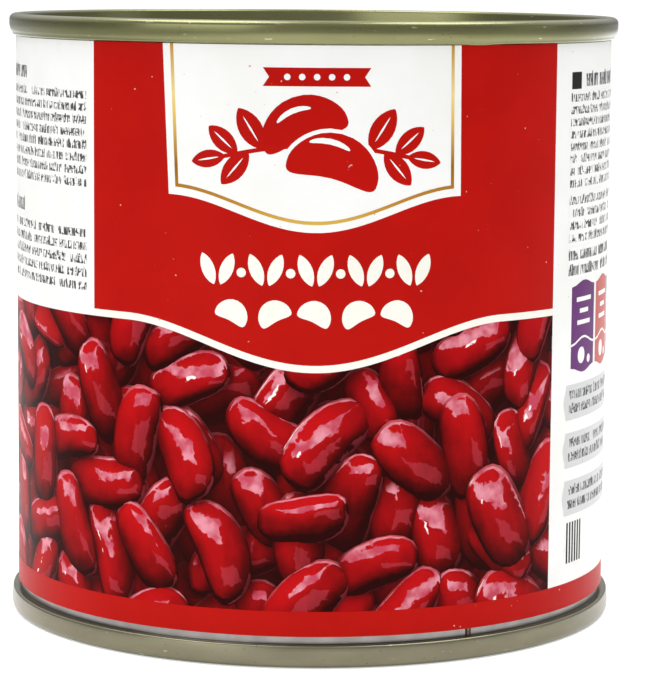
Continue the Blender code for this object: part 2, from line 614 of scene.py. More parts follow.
@dataclass(frozen=True)
class LightTable(Finish):
    """Opal acrylic lit from below, matt and even, whose glow dies away beside and before the can."""

    name: str = "opal_acrylic_light_table"
    glow: float = 0.36
    fade_left: float = 3.4
    fade_right: float = 1.9
    fade_front: float = 1.15
    widening: float = 0.17
    near: float = 0.20
    far: float = 0.65

    def look(self, tree: Tree) -> dict[str, object]:
        """Let the glow die away with the distance from a strip that widens behind the can.

        Args:
            tree: The material's tree.

        Returns:
            What the shader's inputs get.
        """
        add = partial(add_node, tree)
        x, y, _ = add("SeparateXYZ", [add("TexCoord", output="Object")]).node.outputs
        strip = add("Math MULTIPLY", (add("Math MAXIMUM", (y, 0.0)), self.widening))
        beside = 0.0
        for side, fade in ((-1.0, self.fade_left), (1.0, self.fade_right)):
            off = add("Math SUBTRACT", (add("Math MULTIPLY", (x, side)), strip))
            beside = add("Math MAXIMUM", (beside, add("Math MULTIPLY", (off, fade))))
        before = add("Math MULTIPLY", (add("Math MINIMUM", (y, 0.0)), self.fade_front))
        distance = add("VectorMath LENGTH", [add("CombineXYZ", (beside, before))], output="Value")
        away = add("MapRange", (distance, self.near, self.far), **SMOOTH)
        return {
            "Base Color": add("Mix", {0: away, 6: "#F2F2F2", 7: "#BCBCBC"}, **COLOURS),
            "Emission Strength": add("MapRange", (away, 0.0, 1.0, self.glow, 0.0)),
            "Emission Color": grey(1.0),
            "Roughness": 0.9,
            "Specular IOR Level": 0.1,
        }


WHITE_INK = CoatedPaper("white_coated_paper", "#ECECEA", "#E8E8E5")
CREAM_INK = CoatedPaper("cream_offset_ink", "#EDEBE2", "#EAE7DC")
RED_INK = CoatedPaper("red_offset_ink", "#B10E06", "#AB0C05")
GROUND_INK = CoatedPaper("dark_bean_ground_ink", "#240402", "#340504", gloss=0.035)
PURPLE_INK = CoatedPaper("purple_offset_ink", "#65316F", "#5E2C67")
SALMON_INK = CoatedPaper("salmon_offset_ink", "#BE5D57", "#B75650")
TEAL_INK = CoatedPaper("teal_offset_ink", "#417C77", "#3B736E")
GREY_INK = CoatedPaper("grey_tint_ink", "#CBCCCC", "#C7C8C8")
BLACK_INK = CoatedPaper("black_offset_ink", "#232123", "#1D1B1D")
GOLD_INK = GoldInk("gold_gradient_ink", "#D9B75E", "#B58129")
BEAN_INK = BeanInk("kidney_bean_picture_ink", "#B00C16", "#8E0A14", gloss=0.035)
SMALL_PRINT = FinePrint("fine_black_print_on_paper", WHITE_INK.ink, "#4A4848", boldness=0.8)
BOLD_PRINT = FinePrint("bold_black_print_on_paper", WHITE_INK.ink, "#4A4849", boldness=2.1, stroke=0.50)
BOXED_PRINT = FinePrint("bold_black_print_on_grey_tint", GREY_INK.ink, "#454344", boldness=1.2, stroke=0.46)


# Meshes


def finish_piece(
    name: str, shape: Shape, finish: Finish, replaced: Sequence[str] = (), crease: float = 35.0
) -> bpy.types.Object:
    """Make a piece of the can from a finished shape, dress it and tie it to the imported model.

    Args:
        name: The piece's name.
        shape: Its mesh in place, freed here.
        finish: Its finish.
        replaced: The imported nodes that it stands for.
        crease: The angle in degrees above which an edge stays sharp.

    Returns:
        The piece.
    """
    mesh = bpy.data.meshes.new(name)
    shape.to_mesh(mesh)
    shape.free()
    mesh.shade_smooth()
    mesh.set_sharp_from_angle(angle=math.radians(crease))
    mesh.materials.append(finish.material())
    piece = bpy.data.objects.new(name, mesh)
    bpy.context.scene.collection.objects.link(piece)
    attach(piece, ROOT_BODY)
    if replaced:
        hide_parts(*replaced)
    LOG.info("%s: %d faces", name, len(mesh.polygons))
    return piece


def spun(section: Sequence[Spot], steps: int) -> Shape:
    """Spin a section round Z.

    Args:
        section: Its (radius, height) points, from the top of the axis round to its bottom.
        steps: How many faces go round.

    Returns:
        The closed solid.
    """
    shape = bmesh.new()
    points = [shape.verts.new((radius, 0.0, height)) for radius, height in section]
    edges = [shape.edges.new(pair) for pair in zip(points, points[1:])]
    axis = {"cent": (0, 0, 0), "axis": (0, 0, 1), "angle": 2 * math.pi}
    bmesh.ops.spin(shape, geom=points + edges, steps=steps, use_merge=True, **axis)
    bmesh.ops.remove_doubles(shape, verts=shape.verts, dist=0.001 * MM)
    bmesh.ops.recalc_face_normals(shape, faces=shape.faces)
    return shape


def joined(shapes: Iterable[Shape]) -> Shape:
    """Join shapes into one.

    Args:
        shapes: The shapes in their order, which are freed here.

    Returns:
        The one shape.
    """
    whole = bmesh.new()
    for shape in shapes:
        mesh = bpy.data.meshes.new("part")
        shape.to_mesh(mesh)
        shape.free()
        whole.from_mesh(mesh)
        bpy.data.meshes.remove(mesh)
    return whole


def height_at(edge: Edge, angle: float) -> float:
    """The height of a level or a curved edge at an angle."""
    return edge(angle) if callable(edge) else edge


def band(left: float, right: float, low: Edge, high: Edge, rows: int = 1) -> Shape:
    """Draw a field on the unrolled label, as a mesh whose x is an angle and whose y is a height.

    Args:
        left: The angle of its left edge.
        right: The angle of its right edge.
        low: Its lower edge.
        high: Its upper edge.
        rows: How many faces it is high.

    Returns:
        The flat mesh.
    """
    shape = bmesh.new()
    bmesh.ops.create_grid(shape, x_segments=1, y_segments=rows, size=0.5)
    for point in shape.verts:
        point.co.x = left + (point.co.x + 0.5) * (right - left)
    cut_at_facets(shape)
    for point in shape.verts:
        bottom, top = height_at(low, point.co.x), height_at(high, point.co.x)
        point.co.y = bottom + (point.co.y + 0.5) * (top - bottom)
    return shape


def disc(steps: int, form: Form, angle: float, height: float, turn: float = 0.0) -> Shape:
    """Draw a filled shape on the unrolled label, as a mesh whose x is an angle and whose y is a height.

    Args:
        steps: How many points its edge has.
        form: The edge's (x, y) in millimetres for a turn in radians.
        angle: Where its middle is.
        height: How high its middle is.
        turn: How far it is turned, in degrees.

    Returns:
        The flat mesh.
    """
    shape = bmesh.new()
    bmesh.ops.create_circle(shape, cap_ends=True, segments=steps, radius=1.0)
    spot = Matrix.Translation((math.radians(angle) * PAPER_OUTSIDE, height, 0.0))
    place = spot @ Matrix.Rotation(math.radians(turn), 4, "Z")
    for point in shape.verts:
        x, y = form(math.atan2(point.co.y, point.co.x))
        point.co = place @ Vector((x * MM, y * MM, 0.0))
        point.co.x = math.degrees(point.co.x / PAPER_OUTSIDE)
    cut_at_facets(shape)
    return shape


def paper_rise(angle: float) -> float:
    """How far the paper lies above its lowest turn, where its outer end laps over its inner end."""
    share = min(max((angle - LAP_START) / (LAP_END - LAP_START), 0.0), 1.0)
    return LAP_RISE * share * share * (3 - 2 * share)


def film(shape: Shape, radius: float, thickness: float) -> Shape:
    """Wrap a flat shape round the can and give it a thickness outwards.

    Args:
        shape: A flat mesh of angles and heights, which is changed.
        radius: The radius of its inner side where the paper lies lowest.
        thickness: How thick it is.

    Returns:
        The closed film.
    """
    made = bmesh.ops.extrude_face_region(shape, geom=shape.faces[:])
    outer = {item for item in made["geom"] if isinstance(item, bmesh.types.BMVert)}
    for point in shape.verts:
        point.co.y /= MM
        point.co.z = 10.0 if point in outer else 0.0
    shape.normal_update()
    bmesh.ops.recalc_face_normals(shape, faces=shape.faces)
    for point in shape.verts:
        angle, height = point.co.x, point.co.y * MM
        lift = thickness if point in outer else 0.0
        point.co = on_facets(radius + paper_rise(angle) + lift, angle, height)
    return shape


def leaf_form(length: float, width: float) -> Form:
    """Make a leaf's outline, pointed at both ends.

    Args:
        length: Its length.
        width: Its width.

    Returns:
        The form.
    """
    return lambda turn: (
        length / 2 * math.cos(turn),
        width / 2 * math.copysign(abs(math.sin(turn)) ** 1.6, math.sin(turn)),
    )


def bean_form(length: float, width: float, bend: float) -> Form:
    """Make a kidney bean's outline, blunt at both ends.

    Args:
        length: Its length.
        width: Its width.
        bend: How far its ends droop.

    Returns:
        The form, whose lower side is hollow.
    """

    def spot(turn: float) -> Spot:
        """The outline's point at a turn in radians."""
        along, aside = (math.copysign(abs(way) ** 0.8, way) for way in (math.cos(turn), math.sin(turn)))
        return length / 2 * along, width / 2 * aside - bend * (along * along - 0.4)

    return spot


def round_form(radius: float) -> Form:
    """A dot's outline."""
    return lambda turn: (radius * math.cos(turn), radius * math.sin(turn))


class Layer(Enum):
    """How far above the paper each ink film starts, in metres."""

    GROUND = 0.004 * MM
    BEANS = 0.012 * MM
    FIELD = 0.066 * MM
    UNDER_PLATE = 0.073 * MM
    PLATE = 0.080 * MM
    LINE = 0.090 * MM
    OVER_LINE = 0.098 * MM
    TOP = 0.106 * MM
    LIGHTS = 0.114 * MM


def shade_as_wrapped(piece: bpy.types.Object) -> bpy.types.Object:
    """Let a printed piece take the light as the round paper does, whatever its own small relief.

    Args:
        piece: The piece.

    Returns:
        The same piece.
    """
    outward = [Vector((point.co.x, point.co.y, 0.0)).normalized() for point in piece.data.vertices]
    piece.data.normals_split_custom_set_from_vertices(outward)
    return piece


def printed(name: str, layer: Layer, ink: CoatedPaper, *flats: Shape) -> bpy.types.Object:
    """Print flat shapes on the label as one piece.

    Args:
        name: The piece's name.
        layer: The layer that they lie in.
        ink: The ink.
        flats: The flat shapes, which are freed here.

    Returns:
        The piece.
    """
    base = PAPER_OUTSIDE + layer.value
    whole = joined(film(flat, base + count * HAIR, FILM) for count, flat in enumerate(flats))
    return shade_as_wrapped(finish_piece(name, whole, ink))


# Sub-assemblies


@dataclass
class SeamedEnd:
    """One end of the can: a beaded panel, a groove, the chuck wall and the double seam.

    The taper says, at each depth below the seam's top, what share of the foot's inset its outer
    side has drawn in.
    """

    name: str
    node: str
    slot: str
    finish: LacqueredTinplate
    upside_down: bool = False
    steps: int = 240
    groove_depth: float = 4.6 * MM
    groove_radius: float = 0.55 * MM
    panel_depth: float = 3.4 * MM
    panel_radius: float = 38.8 * MM
    panel_round: float = 0.5 * MM
    plate: float = 0.2 * MM
    rings: tuple[float, ...] = (10.0 * MM, 21.5 * MM, 31.8 * MM)
    ring_width: float = 3.0 * MM
    ring_height: float = 0.5 * MM
    ring_steps: int = 8
    inner_round: float = 0.45 * MM
    outer_round: float = 0.85 * MM
    taper: tuple[Spot, ...] = ((1.50 * MM, 0.0), (1.80 * MM, 0.10), (2.15 * MM, 0.31), (2.45 * MM, 0.62))
    foot_round: float = 0.38 * MM
    foot_inset: float = 0.42 * MM
    droop: float = 0.16 * MM
    droop_depth: float = 1.6 * MM
    droop_height: float = 1.2 * MM
    droop_width: float = 3.6

    def section(self) -> list[Spot]:
        """Draw half of the end's section.

        Returns:
            Its (radius, depth) points, from the panel's middle round to the middle of its underside.
        """
        depth = self.groove_depth - self.groove_radius
        foot = CHUCK_WALL_TOP - CHUCK_WALL_SLOPE * depth
        bend = self.panel_round
        points = [(0.0, self.panel_depth)]
        for radius in self.rings:
            for step in range(self.ring_steps + 1):
                share = 2 * step / self.ring_steps - 1
                rise = self.ring_height * (1 - wave(share))
                points.append((radius + share * self.ring_width / 2, self.panel_depth - rise))
        points += [
            spot
            for radius, height, curve, start, end, steps in (
                (self.panel_radius - bend, self.panel_depth + bend, bend, -90, 0, 5),
                (self.panel_radius + self.groove_radius, depth, self.groove_radius, 180, 90, 6),
                (foot - self.groove_radius, depth, self.groove_radius, 90, 0, 6),
                (CHUCK_WALL_TOP + self.inner_round, self.inner_round, self.inner_round, -180, -90, 7),
                (SEAM_RADIUS - self.outer_round, self.outer_round, self.outer_round, -90, 0, 10),
            )
            for spot in arc((radius, height), curve, start, end, steps)
        ]
        points += [(SEAM_RADIUS - share * self.foot_inset, height) for height, share in self.taper]
        foot_centre = (SEAM_RADIUS - self.foot_inset - self.foot_round, SEAM_HEIGHT - self.foot_round)
        points += arc(foot_centre, self.foot_round, 0, 90, 6)
        back = self.groove_depth + self.plate
        plug = CHUCK_WALL_TOP + self.plate
        points += [(plug - CHUCK_WALL_SLOPE * level, level) for level in (SEAM_HEIGHT, back)]
        return points + [(0.0, back)]

    def build(self) -> bpy.types.Object:
        """Spin the section, let the upper seam droop where it crosses the weld, and dress it.

        Returns:
            The end.
        """
        section = self.section()
        if self.upside_down:
            shape = spun(section[::-1], self.steps)
        else:
            shape = spun([(radius, CAN_HEIGHT - depth) for radius, depth in section], self.steps)
            self.sag_at_weld(shape)
        return finish_piece(self.name, shape, self.finish, (self.node,), 50.0)

    def sag_at_weld(self, shape: Shape) -> None:
        """Lower the seam's foot where the wall's double thickness passes through it.

        Args:
            shape: The end, which is changed.
        """
        for point in shape.verts:
            deeper = CAN_HEIGHT - point.co.z - self.droop_depth
            if math.hypot(point.co.x, point.co.y) < CHUCK_WALL_TOP + 0.3 * MM or deeper < 0:
                continue
            angle = math.degrees(math.atan2(point.co.x, -point.co.y))
            near = math.exp(-(((angle - WELD_ANGLE) / self.droop_width) ** 2))
            point.co.z -= self.droop * near * min(1.0, deeper / self.droop_height)


@dataclass
class WeldedWall:
    """The wall: a turned tinplate shell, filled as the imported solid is, and its side weld."""

    gap_above: float = 0.3 * MM
    gap_below: float = 0.04 * MM
    recess: float = 5.1 * MM
    inset: float = 0.233 * MM
    throat_inset: float = 0.15 * MM
    steps: int = 240
    weld_width: float = 0.34 * MM
    burn_width: float = 0.24 * MM
    proud: float = 0.08 * MM
    root: float = 0.02 * MM
    parting: float = 0.03

    def build(self) -> None:
        """Build the wall and the three strips of the weld."""
        low = SEAM_HEIGHT + self.gap_below
        high = CAN_HEIGHT - SEAM_HEIGHT - self.gap_above
        inside = CHUCK_WALL_TOP + self.inset
        throat = inside - self.throat_inset
        section = [(0.0, CAN_HEIGHT - self.recess), (throat, CAN_HEIGHT - self.recess), (inside, high)]
        section += [(WALL_RADIUS, high), (WALL_RADIUS, low)]
        section += [(inside, low), (throat, self.recess), (0.0, self.recess)]
        wall = spun(section, self.steps)
        finish_piece("tinplate_wall", wall, BareTinplate(), ("can_body",), 40.0)
        width, burn = (math.degrees(size / WALL_RADIUS) for size in (self.weld_width, self.burn_width))
        off = width / 2 + burn / 2 + self.parting
        for name, middle, half, proud, tint in (
            ("weld_bead", WELD_ANGLE, width / 2, self.proud, "#9C8E80"),
            ("weld_burn_left", WELD_ANGLE - off, burn * 0.62, self.proud / 2, "#4A3C36"),
            ("weld_burn_right", WELD_ANGLE + off, burn * 0.42, self.proud / 2, "#3E342F"),
        ):
            strip = band(middle - half, middle + half, low, high)
            welded = film(strip, WALL_RADIUS - self.root, proud + self.root)
            finish_piece(name, welded, WeldedSteel(name, tint))


@dataclass
class PaperLabel:
    """The label: one length of coated paper whose ends lap, and the fields of ink that run round it."""

    inner_end: float = -238.0
    outer_end: float = 130.0
    overlap: float = 0.5 * MM

    def build(self) -> None:
        """Build the paper, the red band along its foot and the dark ground of the bean picture."""
        flat = band(self.inner_end, self.outer_end, LABEL_BASE, LABEL_TOP, rows=4)
        paper = film(flat, PAPER_INSIDE, PAPER_THICKNESS)
        finish_piece("label_paper", paper, WHITE_INK, ("label",))
        printed("base_band", Layer.FIELD, RED_INK, band(PRINT_START, PRINT_END, LABEL_BASE, BAND_TOP))
        ground = band(PRINT_START, RIGHT_PANEL[0], BAND_TOP - self.overlap, PICTURE_TOP)
        printed("picture_ground", Layer.GROUND, GROUND_INK, ground)


@dataclass(frozen=True)
class Emblem:
    """The shield's sprig: two beans on an arching stem with leaves, under a short ribbon.

    Each leaf has its reach in degrees, its turn, its length and its width. Each bean has its
    length, width and bend, and then its place: an angle, a height and a turn.
    """

    stem_height: float = 66.6 * MM
    stem_arch: float = 2.2 * MM
    stem_curl: float = 4.4
    stem_reach: float = 16.8
    stem_half: float = 0.28 * MM
    leaves: tuple[tuple[float, ...], ...] = (
        (10.6, 58, 6.2, 3.1), (13.2, -50, 5.6, 2.8), (15.2, 42, 5.2, 2.6), (17.4, -10, 4.7, 2.3)
    )
    leaf_set_in: float = 1.2
    back_bean: tuple[float, ...] = (11.6, 5.6, 2.0, -2.6, 71.6 * MM, 20)
    halo: tuple[float, ...] = (13.2, 6.9, 2.2, 3.2, 66.6 * MM, -14)
    front_bean: tuple[float, ...] = (12.2, 5.9, 2.2, 3.2, 66.6 * MM, -14)
    shines: tuple[tuple[float, ...], ...] = (
        (5.4, 0.75, 0.6, 2.4, 69.1 * MM, -12), (4.8, 0.7, 0.6, -4.2, 73.0 * MM, 24)
    )
    ribbon_half: float = 9.5
    ribbon_low: float = 76.4 * MM
    ribbon_high: float = 78.8 * MM
    ribbon_notch: float = 1.1

    def stem(self, off: float) -> float:
        """The stem's height at an angle from the emblem's middle."""
        return self.stem_height + self.stem_arch * math.cos(math.radians(off * self.stem_curl))

    def bean(self, steps: int, middle: float, size: Sequence[float]) -> Shape:
        """One flat bean of the emblem, or what is drawn like one."""
        length, width, bend, off, height, turn = size
        return disc(steps, bean_form(length, width, bend), middle + off, height, turn)

    def sprig(self, middle: float) -> tuple[list[Shape], list[Shape]]:
        """Draw the leaves on both sides of the middle.

        Args:
            middle: The angle of the emblem's middle.

        Returns:
            The leaves and their veins.
        """
        leaves, veins = [], []
        for side in (-1, 1):
            for reach, turn, length, width in self.leaves:
                root = side * (reach - self.leaf_set_in)
                lean = math.radians(turn)
                out = Vector((side * math.cos(lean), math.sin(lean))) * length / 2 * MM
                spot = middle + root + math.degrees(out.x / PAPER_OUTSIDE)
                place = (spot, self.stem(root) + out.y, side * turn)
                leaves.append(disc(24, leaf_form(length, width), *place))
                veins.append(disc(8, leaf_form(length * 0.62, 0.26), *place))
        return leaves, veins

    def ribbon(self, middle: float) -> tuple[Shape, list[Shape]]:
        """Draw the ribbon, whose ends are notched.

        Args:
            middle: The angle of the emblem's middle.

        Returns:
            The ribbon and its dots.
        """
        left, right = middle - self.ribbon_half, middle + self.ribbon_half
        ribbon = band(left, right, self.ribbon_low, self.ribbon_high, rows=2)
        centre = (self.ribbon_low + self.ribbon_high) / 2
        for point in ribbon.verts:
            off = point.co.x - middle
            if abs(abs(off) - self.ribbon_half) < 0.01 and abs(point.co.y - centre) < 0.1 * MM:
                point.co.x -= math.copysign(self.ribbon_notch, off)
        return ribbon, [disc(16, round_form(0.42), middle + step * 2.6, centre) for step in range(-2, 3)]

    def build(self, name: str, middle: float) -> None:
        """Print the emblem.

        Args:
            name: The name of the label's face that it is on.
            middle: The angle of its middle.
        """
        stem = band(
            middle - self.stem_reach,
            middle + self.stem_reach,
            lambda angle: self.stem(angle - middle) - self.stem_half,
            lambda angle: self.stem(angle - middle) + self.stem_half,
        )
        leaves, veins = self.sprig(middle)
        ribbon, dots = self.ribbon(middle)
        sizes = (self.back_bean, self.halo, self.front_bean)
        back, halo, front = (self.bean(36, middle, size) for size in sizes)
        shines = [self.bean(20, middle, size) for size in self.shines]
        printed(f"{name}_emblem", Layer.LINE, RED_INK, stem, *leaves, back, ribbon)
        printed(f"{name}_emblem_halo", Layer.OVER_LINE, WHITE_INK, halo)
        printed(f"{name}_emblem_front", Layer.TOP, RED_INK, front)
        printed(f"{name}_emblem_lights", Layer.LIGHTS, WHITE_INK, *veins, *dots, *shines)


@dataclass
class Face:
    """One face of the label: a red field with a wavy foot, a shield, an emblem and two ornament rows."""

    name: str
    middle: float
    left: float
    right: float
    stripe_high: float = 46.1 * MM
    stripe_low: float = 40.15 * MM
    stripe_half: float = 36.0
    stripe_width: float = 0.95 * MM
    shield_left: float = 27.0
    shield_right: float = 26.6
    flare_left: float = 1.25
    flare_right: float = -0.25
    shield_corner: float = 62.1 * MM
    shield_foot: float = 57.5 * MM
    gold_inset: float = 1.02 * MM
    gold_width: float = 0.45 * MM
    leaf_row: float = 52.6 * MM
    dot_row: float = 52.2 * MM
    bean_row: float = 46.9 * MM

    def stripe_top(self, angle: float) -> float:
        """The height of the stripe's upper edge."""
        share = (angle - self.middle) / self.stripe_half
        return self.stripe_low + (self.stripe_high - self.stripe_low) * wave(share)

    def stripe_foot(self, angle: float) -> float:
        """The height of the stripe's lower edge."""
        return self.stripe_top(angle) - self.stripe_width

    def shield_edge(self, angle: float, inset: float = 0.0) -> float:
        """Find the shield's lower edge, or a line inset from it.

        Args:
            angle: Where on the label.
            inset: How far above the edge the line is.

        Returns:
            The height there.
        """
        off = angle - self.middle
        share = off / (self.shield_left if off < 0 else self.shield_right)
        return self.shield_foot + inset + (self.shield_corner - self.shield_foot) * wave(share)

    def flared(self, shape: Shape) -> Shape:
        """Widen a shape of the shield towards the label's top.

        Args:
            shape: The flat shape, which is changed.

        Returns:
            The same shape.
        """
        for point in shape.verts:
            up = max(0.0, point.co.y - self.shield_corner) / (LABEL_TOP - self.shield_corner)
            off = point.co.x - self.middle
            on_left = off < 0
            flare = self.flare_left / self.shield_left if on_left else self.flare_right / self.shield_right
            point.co.x += flare * up * off
        return shape

    def build(self) -> None:
        """Print the face."""
        red_field = band(self.left, self.right, self.stripe_top, LABEL_TOP)
        printed(f"{self.name}_red_field", Layer.FIELD, RED_INK, red_field)
        stripe = band(self.left, self.right, self.stripe_foot, self.stripe_top)
        printed(f"{self.name}_wavy_stripe", Layer.PLATE, CREAM_INK, stripe)
        left, right = self.middle - self.shield_left, self.middle + self.shield_right
        shield = self.flared(band(left, right, self.shield_edge, LABEL_TOP, rows=6))
        printed(f"{self.name}_shield", Layer.PLATE, WHITE_INK, shield)
        self.print_gold_line()
        Emblem().build(self.name, self.middle)
        self.print_ornaments()

    def print_gold_line(self) -> None:
        """Print the gold line that follows the shield's two sides and its foot."""
        inset, width = (math.degrees(size / PAPER_OUTSIDE) for size in (self.gold_inset, self.gold_width))
        left = self.middle - self.shield_left + inset
        right = self.middle + self.shield_right - inset
        foot = partial(self.shield_edge, inset=self.gold_inset)
        lines = [band(left, right, foot, partial(self.shield_edge, inset=self.gold_inset + self.gold_width))]
        for edges in ((left, left + width), (right - width, right)):
            lines.append(self.flared(band(*edges, foot, LABEL_TOP, rows=6)))
        printed(f"{self.name}_gold_line", Layer.LINE, GOLD_INK, *lines)

    def print_ornaments(self) -> None:
        """Print a row of leaves and dots over a row of beans, in cream on the red."""
        shapes = []
        for step in range(-4, 5):
            spot = self.middle + step * 4.4
            if step % 2:
                shapes.append(disc(20, round_form(0.62), spot, self.dot_row))
                continue
            for turn in (68, 112):
                lean = math.radians(turn)
                off = (math.copysign(0.45, math.cos(lean)) + 2.2 * math.cos(lean)) * MM
                beside = spot + math.degrees(off / PAPER_OUTSIDE)
                shapes.append(disc(24, leaf_form(4.4, 1.8), beside, self.leaf_row, turn))
        for step in range(-2, 3):
            turn = 28 if step % 2 else -24
            shapes.append(disc(28, bean_form(4.5, 2.8, 0.85), self.middle + step * 7.4, self.bean_row, turn))
        printed(f"{self.name}_ornaments", Layer.PLATE, CREAM_INK, *shapes)


@dataclass(frozen=True)
class PrintBlock:
    """A block of fine print: rows of one size between two angles, whose measures are in millimetres."""

    name: str
    left: float
    right: float
    top: float
    rows: int
    pitch: float
    character: float
    finish: FinePrint

    def build(self) -> None:
        """Print the block and map its rows, counted from a number of its own so that no two are alike."""
        low = self.top - self.rows * self.pitch
        first_row = round(3 * self.left + self.top)
        block = band(self.left, self.right, low * MM, self.top * MM)
        mesh = printed(self.name, Layer.PLATE, self.finish, block).data
        rows = mesh.uv_layers.new(name="rows")
        for corner in mesh.loops:
            point = mesh.vertices[corner.vertex_index].co / MM
            turn = math.atan2(point.x, -point.y) % (2 * math.pi) - math.radians(180 + 60)
            along = turn * PAPER_OUTSIDE / MM / self.character
            rows.data[corner.index].uv = (along, (self.top - point.z) / self.pitch + first_row)


@dataclass
class Panels:
    """The two white panels of the label, with their fine print, badges and boxes."""

    edge: float = 55.4
    square: tuple[float, ...] = (55.5, 59.3, 75.5 * MM, 77.8 * MM)
    bar: tuple[float, ...] = (56.4, 57.0, 10.2 * MM, 15.9 * MM)
    bar_step: float = 1.1
    bars: int = 6
    badge_left: float = 56.9
    badge_width: float = 10.8
    badge_gap: float = 1.2
    box_high: float = 35.1
    box_step: float = 6.65
    box_height: float = 4.9
    box_right: float = 112.0
    box_point: float = 0.9

    def build(self, front: Face) -> None:
        """Print both panels.

        Args:
            front: The front face, whose stripe runs on as the left panel's lower edge.
        """
        printed("left_panel", Layer.FIELD, WHITE_INK, band(*LEFT_PANEL, front.stripe_foot, LABEL_TOP))
        printed("right_panel", Layer.FIELD, WHITE_INK, band(*RIGHT_PANEL, BAND_TOP, LABEL_TOP))
        for block in (
            ("left_heading_upper", -116, -69, 78.3, 1, 2.7, 0.90, BOLD_PRINT),
            ("left_text_upper", -116, -45.6, 75.3, 8, 1.675, 0.74, SMALL_PRINT),
            ("left_heading_lower", -116, -71, 59.9, 1, 2.7, 0.90, BOLD_PRINT),
            ("left_text_lower", -116, -45.6, 56.9, 5, 1.78, 0.86, SMALL_PRINT),
            ("right_heading", 61.3, 118, 78.0, 1, 2.8, 0.90, BOLD_PRINT),
            ("right_text_upper", self.edge, 118, 75.1, 8, 1.66, 0.74, SMALL_PRINT),
            ("right_text_lower", self.edge, 118, 61.2, 4, 1.72, 0.74, SMALL_PRINT),
            ("right_text_bold", self.edge, 118, 53.9, 2, 2.1, 0.80, BOLD_PRINT),
        ):
            PrintBlock(*block).build()
        left, right, low, high = self.bar
        steps = [step * self.bar_step for step in range(self.bars)]
        bars = [band(left + step, right + step, low, high) for step in steps]
        printed("black_square_and_bars", Layer.PLATE, BLACK_INK, band(*self.square), *bars)
        self.print_badges()
        self.print_boxes()

    def arch(self, angle: float, centre: float, height: float, rise: float) -> float:
        """Find the height of a badge's curved edge.

        Args:
            angle: Where on the label.
            centre: The angle of the badge's middle.
            height: The edge's height at the badge's sides, in millimetres.
            rise: How much higher it is at the middle.

        Returns:
            The height there, in metres.
        """
        return (height + rise * (1 - wave((angle - centre) / (self.badge_width / 2)))) * MM

    def print_badges(self) -> None:
        """Print the row of badges, each parted by a white wave over two dots, with three bars above it."""
        marks = []
        for count, ink in enumerate((PURPLE_INK, SALMON_INK, TEAL_INK)):
            left = self.badge_left + count * (self.badge_width + self.badge_gap)
            right = left + self.badge_width
            centre = (left + right) / 2
            foot, head, wave_foot, wave_head = (
                partial(self.arch, centre=centre, height=height, rise=rise)
                for height, rise in ((37.3, -0.8), (48.5, 0.8), (40.3, 1.0), (40.6, 1.0))
            )
            printed(f"badge_{count + 1}", Layer.PLATE, ink, band(left, right, foot, head))
            marks.append(band(left, right, wave_foot, wave_head))
            for half, height in ((3.4, 47.0), (2.0, 45.4), (3.0, 43.8)):
                marks.append(band(centre - half, centre + half, (height - 0.62) * MM, height * MM))
            marks.append(disc(20, round_form(1.15), centre - 1.0, 38.9 * MM))
            marks.append(disc(16, round_form(0.6), centre + 2.6, 38.2 * MM))
        printed("badge_marks", Layer.LINE, WHITE_INK, *marks)

    def print_boxes(self) -> None:
        """Print the grey boxes, pointed at their left, and the two bold rows in each."""
        boxes = []
        for count in range(3):
            high = self.box_high - count * self.box_step
            box = band(self.edge, self.box_right, (high - self.box_height) * MM, high * MM, rows=6)
            for point in box.verts:
                if point.co.x < self.edge + 0.1:
                    share = 2 * (high - point.co.y / MM) / self.box_height - 1
                    point.co.x -= self.box_point * (1 - wave(share))
            boxes.append(box)
            rows = (56.6, 104 - count * 9, high - 0.5, 2, 1.95, 0.6, BOXED_PRINT)
            PrintBlock(f"box_print_{count + 1}", *rows).build()
        printed("grey_boxes", Layer.UNDER_PLATE, GREY_INK, *boxes)


